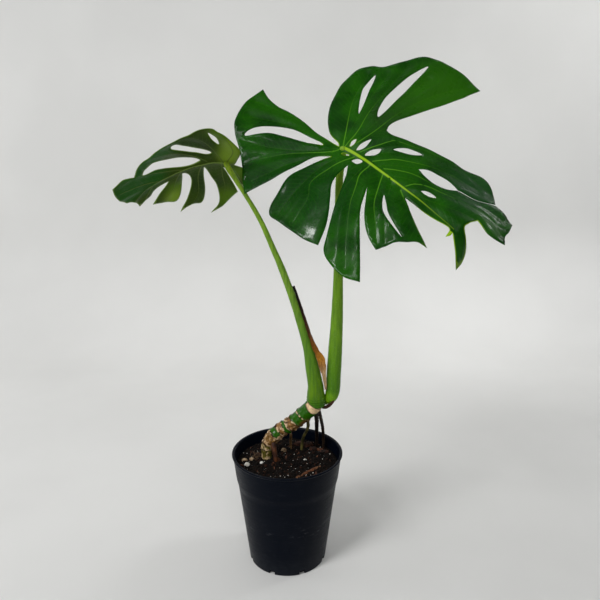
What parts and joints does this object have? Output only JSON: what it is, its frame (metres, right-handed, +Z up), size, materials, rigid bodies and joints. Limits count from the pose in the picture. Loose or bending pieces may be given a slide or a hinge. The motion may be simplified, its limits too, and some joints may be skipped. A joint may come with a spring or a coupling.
{
  "type": "potted monstera plant",
  "caption": "Young monstera with split, holed leaves on long stalks, rising from a leaning stem with air roots in a tapered round nursery pot of soil.",
  "frame": {"origin": "middle of the pot's underside", "axes": "+Z up; the larger leaf leans to +X and its tip points towards -Y; the smaller leaf reaches to -X"},
  "size_m": [0.4573, 0.1932, 0.6672],
  "materials": {
    "pot_plastic": "satin near-black blue",
    "soil_mix": "rough, dark potting mix",
    "stem_skin": "matte, tan and green",
    "stalk_green": "satin green",
    "leaf_dark": "glossy dark green",
    "leaf_light": "satin mid green",
    "sheath_dry": "dry, papery brown",
    "root_bark": "matte brown",
    "chip_bark": "matte red-brown",
    "pebble_tan": "matte stone",
    "perlite_white": "matte white grain"
  },
  "bodies": {
    "root": {"pot": "pot_plastic", "soil": "soil_mix", "stem": "stem_skin", "petiole_main": "stalk_green", "petiole_left": "stalk_green", "leaf_main": "leaf_dark", "leaf_left": "leaf_light", "dried_sheath": "sheath_dry", "root_thick": "root_bark", "root_tan": "root_bark", "root_olive": "root_bark", "root_dark": "root_bark", "root_bent": "root_bark", "bark_chip": "chip_bark", "husk_strip": "chip_bark", "pebble_1": "pebble_tan", "pebble_2": "pebble_tan", "pebble_3": "pebble_tan", "perlite_1": "perlite_white", "perlite_2": "perlite_white", "perlite_3": "perlite_white"}
  },
  "joints": []
}
